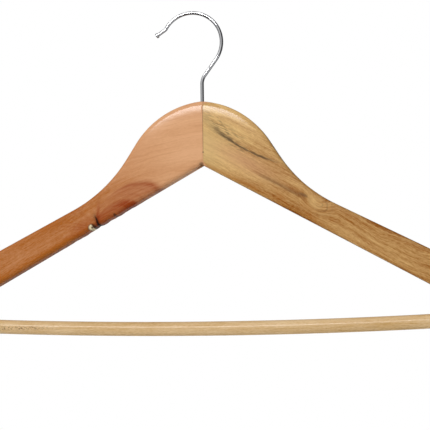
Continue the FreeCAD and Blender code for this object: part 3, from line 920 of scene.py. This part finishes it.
def comb_cutter(sizes, origin, thickness, side):
    """The other shoulder's share: a zigzag prism across the seam."""
    mesh = bmesh.new()
    seam = origin.x + sizes.seam_offset
    half = thickness / 2
    far = seam - side * sizes.span
    corners = [(seam, -half - OVERRUN), (seam, -half)]
    for index in range(sizes.comb_flanks):
        reach = sizes.comb_reach * (1 if index % 2 == 0 else -1)
        share = (2 * index + 1) / (2 * sizes.comb_flanks)
        corners.append((seam + reach, thickness * (share - 0.5)))
    outside = half + OVERRUN
    corners += [(seam, half), (seam, outside), (far, outside), (far, -outside)]
    start = tip = mesh.verts.new((*corners[0], cad_low.z - OVERRUN))
    for x, y in corners[1:]:
        tip = bmesh.ops.extrude_vert_indiv(mesh, verts=[tip])["verts"][0]
        tip.co = (x, y, start.co.z)
    mesh.edges.new((tip, start))
    face = bmesh.ops.contextual_create(mesh, geom=mesh.edges[:])["faces"]
    grown = bmesh.ops.extrude_face_region(mesh, geom=face)["geom"]
    bmesh.ops.translate(mesh, verts=verts_of(grown), vec=(0, 0, cad_high.z - cad_low.z))
    return mesh


def bar_line():
    """Radius and centre of the bar's bow, and half of its opening angle."""
    low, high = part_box("trouser_bar")
    bow = bpy.context.scene.hanger_bar.bow
    radius = (high.y - low.y) / 2
    centre = Vector(((low.x + high.x) / 2, (low.y + high.y) / 2, low.z + radius + bow))
    reach = asin((high.x - low.x) / 2 / (bow + radius))
    return bow, centre, reach, radius


def cut_holes(piece, side, sizes, origin):
    """Bore and recess of the hook, hole of the bar and seat of the brad."""
    up = (0, 0, 1)
    below = origin - OVERRUN * Vector(up)
    cut(piece, rod_cutter(below, up, sizes.crown_rise + 2 * OVERRUN, sizes.bore_wide, facets=32))
    cut(piece, rod_cutter(below, up, sizes.cup_floor + OVERRUN, sizes.cup_wide, facets=48))

    bar = bpy.context.scene.hanger_bar
    bow, centre, reach, radius = bar_line()
    grip = reach - BAR_GRIP
    on_bar = centre + bow * Vector((side * sin(grip), 0, -cos(grip)))
    outward = Vector((side * cos(grip), 0, sin(grip)))
    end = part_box("trouser_bar")[1].x - centre.x + bar.end_gap
    start = on_bar + outward * (end - abs(on_bar.x - centre.x)) / cos(grip)
    cut(piece, rod_cutter(start, -outward, BAR_DRILL, 2 * (radius + bar.play), facets=48))

    name = "left" if side < 0 else "right"
    brad_low, brad_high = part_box(f"bar_brad_{name}")
    fittings = bpy.context.scene.hanger_fittings
    seat = Vector(((brad_low.x + brad_high.x) / 2, brad_high.y, (brad_low.z + brad_high.z) / 2))
    back = (0, -1, 0)
    outside = seat + Vector((0, OVERRUN, 0))
    head = OVERRUN + fittings.brad_head_thick
    cut(piece, rod_cutter(outside, back, head, fittings.brad_head + HEAD_PLAY, facets=32))
    shank = OVERRUN + brad_high.y - brad_low.y
    cut(piece, rod_cutter(outside, back, shank, fittings.brad_wide, facets=24))


class HANGER_OT_shoulders(bpy.types.Operator):
    """Make the two wooden shoulders and their glued finger joint"""

    bl_idname = "hanger.shoulders"
    bl_label = "Shoulders"

    def execute(self, context):
        sizes = context.scene.hanger_shoulders
        finish = context.scene.hanger_finishes
        low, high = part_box("left_shoulder")
        thickness = high.y - low.y
        origin = crotch()
        woods = {"left": ("pink_wood", pink_wood), "right": ("brown_wood", brown_wood)}
        for name, side in SIDES:
            slot, wood = woods[name]
            piece = new_piece(f"{name}_wood", shoulder_blank(sizes, origin, thickness))
            cut(piece, comb_cutter(sizes, origin, thickness, side))
            cut_holes(piece, side, sizes, origin)
            mesh = reopened(piece)
            ease_crown(mesh, sizes, origin, thickness)
            if side < 0:
                wear_knot(mesh, sizes, origin, thickness)
            store(mesh, piece)
            weighted = piece.modifiers.new("even_shading", "WEIGHTED_NORMAL")
            weighted.keep_sharp = True
            settle(piece, wood(finish, sizes, origin), "hanger", f"{name}_shoulder")
        return {"FINISHED"}


class HANGER_OT_bar(bpy.types.Operator):
    """Make the slightly bowed trouser bar"""

    bl_idname = "hanger.bar"
    bl_label = "Trouser bar"

    def execute(self, context):
        sizes = context.scene.hanger_bar
        bow, centre, reach, radius = bar_line()
        mesh = bmesh.new()
        inner = reach - sizes.bevel / bow
        start = centre + bow * Vector((-sin(reach), 0, -cos(reach)))
        sweep = Sweep(mesh, start, -reach, radius - sizes.bevel, sizes.facets)
        for step in (0.3, 0.3, 0.4):
            sweep.run(sizes.bevel * step)
            rise = min(1, (sweep.centre - start).length / sizes.bevel)
            bulge = sizes.bevel * (1 - sqrt(max(0, 1 - (1 - rise) ** 2)))
            sweep.resize(radius - bulge)
        sweep.bend(bow, 2 * inner, sizes.steps)
        for step in (0.4, 0.3, 0.3):
            sweep.run(sizes.bevel * step)
        sweep.close()
        clean(mesh)
        wood = pale_wood(context.scene.hanger_finishes, middle_of("trouser_bar"))
        settle(new_piece("bar_wood", mesh), wood, "hanger", "trouser_bar")
        return {"FINISHED"}


class HANGER_OT_hook(bpy.types.Operator):
    """Make the bent wire hook with its upset knob"""

    bl_idname = "hanger.hook"
    bl_label = "Hook"

    def execute(self, context):
        sizes = context.scene.hanger_hook
        low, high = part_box("hook")
        axis_x = middle_of("hook_nut").x
        radius = sizes.wire_wide / 2
        arc_height = high.z - radius - sizes.arc_radius
        bend_tangent = sizes.stem_bend * tan(sizes.lean / 2)
        across = sizes.arc_radius * cos(sizes.lean) - sizes.arc_reach
        corner = arc_height - sizes.arc_radius * sin(sizes.lean)
        corner -= across / tan(sizes.lean)

        mesh = bmesh.new()
        start = Vector((axis_x, 0, low.z))
        sweep = Sweep(mesh, start, pi / 2, radius - sizes.end_bevel, sizes.facets)
        sweep.run(sizes.end_bevel, radius)
        sweep.run(corner - low.z - sizes.end_bevel - bend_tangent)
        sweep.bend(sizes.stem_bend, -sizes.lean, steps=12)
        sweep.run(across / sin(sizes.lean) - bend_tangent)
        sweep.bend(sizes.arc_radius, sizes.end_angle + sizes.lean, steps=96)
        sweep.bend(sizes.kick_bend, -sizes.kick_turn, steps=10)
        sweep.run(sizes.kick_run - sizes.knob_long)
        self.swell(sweep, sizes)
        sweep.close()
        clean(mesh)
        chrome = bright_chrome(context.scene.hanger_finishes)
        settle(new_piece("hook_wire", mesh), chrome, "hook", "hook")
        return {"FINISHED"}

    @staticmethod
    def swell(sweep, sizes):
        """The knob: out along a rounded shoulder, along its rim and in again."""
        steps = 5
        rounding = sizes.knob_round
        flat = sizes.knob_wide / 2 - rounding
        turns = [index / steps * pi / 2 for index in range(steps + 1)]
        for last, turn in zip(turns, turns[1:]):
            sweep.run(rounding * (cos(last) - cos(turn)), flat + rounding * sin(turn))
        sweep.run(sizes.knob_long - 2 * rounding)
        for last, turn in zip(turns, turns[1:]):
            sweep.run(rounding * (sin(turn) - sin(last)), flat + rounding * cos(turn))


class HANGER_OT_fittings(bpy.types.Operator):
    """Make the washer, the nut and the two brads"""

    bl_idname = "hanger.fittings"
    bl_label = "Washer, nut and brads"

    def execute(self, context):
        sizes = context.scene.hanger_fittings
        steel = plain_steel(context.scene.hanger_finishes)
        self.make_washer(sizes, steel)
        self.make_nut(sizes, steel)
        for name, _ in SIDES:
            self.make_brad(sizes, steel, name)
        return {"FINISHED"}

    def make_washer(self, sizes, steel):
        low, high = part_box("hook_washer")
        centre = Vector(((low.x + high.x) / 2, (low.y + high.y) / 2, low.z))
        outer = (high.x - low.x) / 2
        share = sizes.washer_hole / 2 / outer
        place = Matrix.Translation(centre)
        mesh = bmesh.new()
        bmesh.ops.create_circle(mesh, segments=sizes.facets, radius=outer, matrix=place)
        hole = verts_of(bmesh.ops.extrude_edge_only(mesh, edges=mesh.edges[:])["geom"])
        bmesh.ops.scale(mesh, verts=hole, vec=(share, share, 1), space=place.inverted())
        top = verts_of(bmesh.ops.extrude_face_region(mesh, geom=mesh.faces[:])["geom"])
        bmesh.ops.translate(mesh, verts=top, vec=(0, 0, high.z - low.z))
        clean(mesh)
        self.break_edges(mesh, sizes.edge_break)
        settle(new_piece("washer_steel", mesh), steel, "hanger", "hook_washer")

    @staticmethod
    def break_edges(mesh, offset):
        sharp = [edge for edge in mesh.edges if edge.calc_face_angle(0) > radians(40)]
        bmesh.ops.bevel(
            mesh, geom=sharp, offset=offset, segments=2, profile=0.5, affect="EDGES", material=-1
        )

    def make_nut(self, sizes, steel):
        low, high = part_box("hook_nut")
        centre = (low + high) / 2
        bore = bpy.context.scene.hanger_hook.wire_wide
        corner = sizes.nut_flats / 2 / cos(radians(30))
        mesh = bmesh.new()
        bmesh.ops.create_cone(
            mesh, cap_ends=True, segments=6, radius1=corner, radius2=corner, depth=high.z - low.z,
            matrix=Matrix.Translation(centre) @ Matrix.Rotation(radians(30), 4, "Z")
        )
        piece = new_piece("nut_steel", mesh)
        deep = high.z - low.z + 2 * OVERRUN
        start = centre - Vector((0, 0, deep / 2))
        cut(piece, rod_cutter(start, (0, 0, 1), deep, bore, facets=32))
        mesh = reopened(piece)
        self.break_edges(mesh, sizes.edge_break)
        store(mesh, piece)
        settle(piece, steel, "hook", "hook_nut")

    def make_brad(self, sizes, steel, name):
        node = f"bar_brad_{name}"
        low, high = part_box(node)
        axis = Vector(((low.x + high.x) / 2, 0, (low.z + high.z) / 2))
        head = sizes.brad_head / 2
        shank = sizes.brad_wide / 2
        dish = 0.12 * MM
        profile = (
            (0, high.y - dish),
            (head * 0.55, high.y - dish * 0.7),
            (head - sizes.edge_break, high.y),
            (head, high.y - sizes.edge_break),
            (head, high.y - sizes.brad_head_thick),
            (shank, high.y - sizes.brad_head_thick),
            (shank, low.y + sizes.brad_point),
            (0, low.y),
        )
        mesh = bmesh.new()
        tip = mesh.verts.new((axis.x, profile[0][1], axis.z))
        for out, y in profile[1:]:
            tip = bmesh.ops.extrude_vert_indiv(mesh, verts=[tip])["verts"][0]
            tip.co = (axis.x + out, y, axis.z)
        bmesh.ops.spin(
            mesh, geom=mesh.verts[:] + mesh.edges[:], cent=axis, axis=(0, 1, 0), angle=tau,
            steps=sizes.facets // 2, use_merge=True, use_duplicate=False
        )
        clean(mesh)
        settle(new_piece(f"brad_{name}_steel", mesh), steel, "hanger", node)


class HANGER_OT_stage(bpy.types.Operator):
    """Set up the floor, the white surround, the lamps and the camera"""

    bl_idname = "hanger.stage"
    bl_label = "Stage"

    def execute(self, context):
        settings = context.scene.hanger_stage
        context.scene.view_settings.view_transform = "Standard"
        centre = (cad_low + cad_high) / 2
        self.make_floor(context, settings)
        self.make_surround(context, settings)
        self.add_lamp("key", centre, KEY_PLACE, KEY_SIZE, settings.key_power)
        self.add_lamp("floor_wash", centre, WASH_PLACE, WASH_SIZE, settings.wash_power, -1)
        self.add_camera(context, settings, centre)
        return {"FINISHED"}

    def make_floor(self, context, settings):
        mesh = bmesh.new()
        level = cad_low.z - settings.floor_drop
        bmesh.ops.create_grid(
            mesh, x_segments=8, y_segments=8, size=settings.floor_size / 2,
            matrix=Matrix.Translation((0, 0, level))
        )
        floor = new_piece("studio_floor", mesh)
        dress(floor, pale_floor(context.scene.hanger_finishes))
        floor.visible_glossy = False

    def make_surround(self, context, settings):
        """Pure white to the camera; to the object, a tent with darker openings."""
        world = bpy.data.worlds.new("studio")
        context.scene.world = world
        graph = Graph(world)
        direction = graph.node("ShaderNodeTexCoord").outputs["Generated"]

        def panel(aim, outer, inner):
            """A soft round panel seen in one direction, from its rim to its full brightness."""
            aligned = graph.node(
                "ShaderNodeVectorMath", {"operation": "DOT_PRODUCT"},
                {0: direction, 1: Vector(aim).normalized()}
            )
            value = Value(graph, aligned.outputs["Value"])
            return value.between(cos(radians(outer)), cos(radians(inner)))

        panels = sum(share * panel(aim, outer, inner) for aim, outer, inner, share in TENT)
        shade = settings.opening + settings.front * panels
        tent = graph.node("ShaderNodeBackground", {}, {"Strength": shade})
        white = graph.node("ShaderNodeBackground", {}, {"Color": (1, 1, 1), "Strength": 1})
        seen = graph.node("ShaderNodeLightPath").outputs["Is Camera Ray"]
        mixed = graph.node("ShaderNodeMixShader", {}, {0: seen, 1: tent.outputs[0], 2: white.outputs[0]})
        graph.node("ShaderNodeOutputWorld", {}, {"Surface": mixed.outputs[0]})

    @staticmethod
    def add_lamp(name, centre, offset, size, power, facing=1):
        data = bpy.data.lights.new(name, "AREA")
        data.shape = "RECTANGLE"
        data.size, data.size_y = size
        data.energy = power
        lamp = bpy.data.objects.new(name, data)
        bpy.context.scene.collection.objects.link(lamp)
        lamp.visible_camera = False
        lamp.location = centre + Vector(offset)
        lamp.rotation_euler = (-facing * Vector(offset)).to_track_quat("-Z", "Y").to_euler()

    @staticmethod
    def add_camera(context, settings, centre):
        aim = centre + Vector((settings.aim_right, 0, settings.aim_up))
        ahead = Vector(
            (
                -sin(settings.yaw) * cos(settings.pitch),
                cos(settings.yaw) * cos(settings.pitch), sin(settings.pitch)
            )
        )
        data = bpy.data.cameras.new("camera")
        data.lens = settings.lens
        data.clip_start = 0.01
        camera = bpy.data.objects.new("camera", data)
        context.scene.collection.objects.link(camera)
        turn = ahead.to_track_quat("-Z", "Y").to_matrix()
        camera.matrix_world = (
            Matrix.Translation(aim - ahead * settings.distance)
            @ (turn @ Matrix.Rotation(settings.roll, 3, "Z")).to_4x4()
        )
        context.scene.camera = camera


class HANGER_PT_panel(bpy.types.Panel):
    """Buttons for each group of the hanger's pieces"""

    bl_idname = "HANGER_PT_panel"
    bl_label = "Clothes Hanger"
    bl_space_type = "VIEW_3D"
    bl_region_type = "UI"
    bl_category = "Hanger"

    def draw(self, context):
        for operator in OPERATORS:
            self.layout.operator(operator.bl_idname)


OPERATORS = (
    HANGER_OT_shoulders,
    HANGER_OT_bar,
    HANGER_OT_hook,
    HANGER_OT_fittings,
    HANGER_OT_stage,
)
SETTINGS = {
    "hanger_shoulders": HangerShoulders,
    "hanger_bar": HangerBar,
    "hanger_hook": HangerHook,
    "hanger_fittings": HangerFittings,
    "hanger_finishes": HangerFinishes,
    "hanger_stage": HangerStage,
}


def register():
    for cls in (*SETTINGS.values(), *OPERATORS, HANGER_PT_panel):
        bpy.utils.register_class(cls)
    for name, cls in SETTINGS.items():
        setattr(bpy.types.Scene, name, bpy.props.PointerProperty(type=cls))


def unregister():
    for name in SETTINGS:
        delattr(bpy.types.Scene, name)
    for cls in reversed((*SETTINGS.values(), *OPERATORS, HANGER_PT_panel)):
        bpy.utils.unregister_class(cls)


def main():
    register()
    bpy.ops.hanger.shoulders()
    bpy.ops.hanger.bar()
    bpy.ops.hanger.hook()
    bpy.ops.hanger.fittings()
    bpy.ops.hanger.stage()


if __name__ == "__main__":
    main()
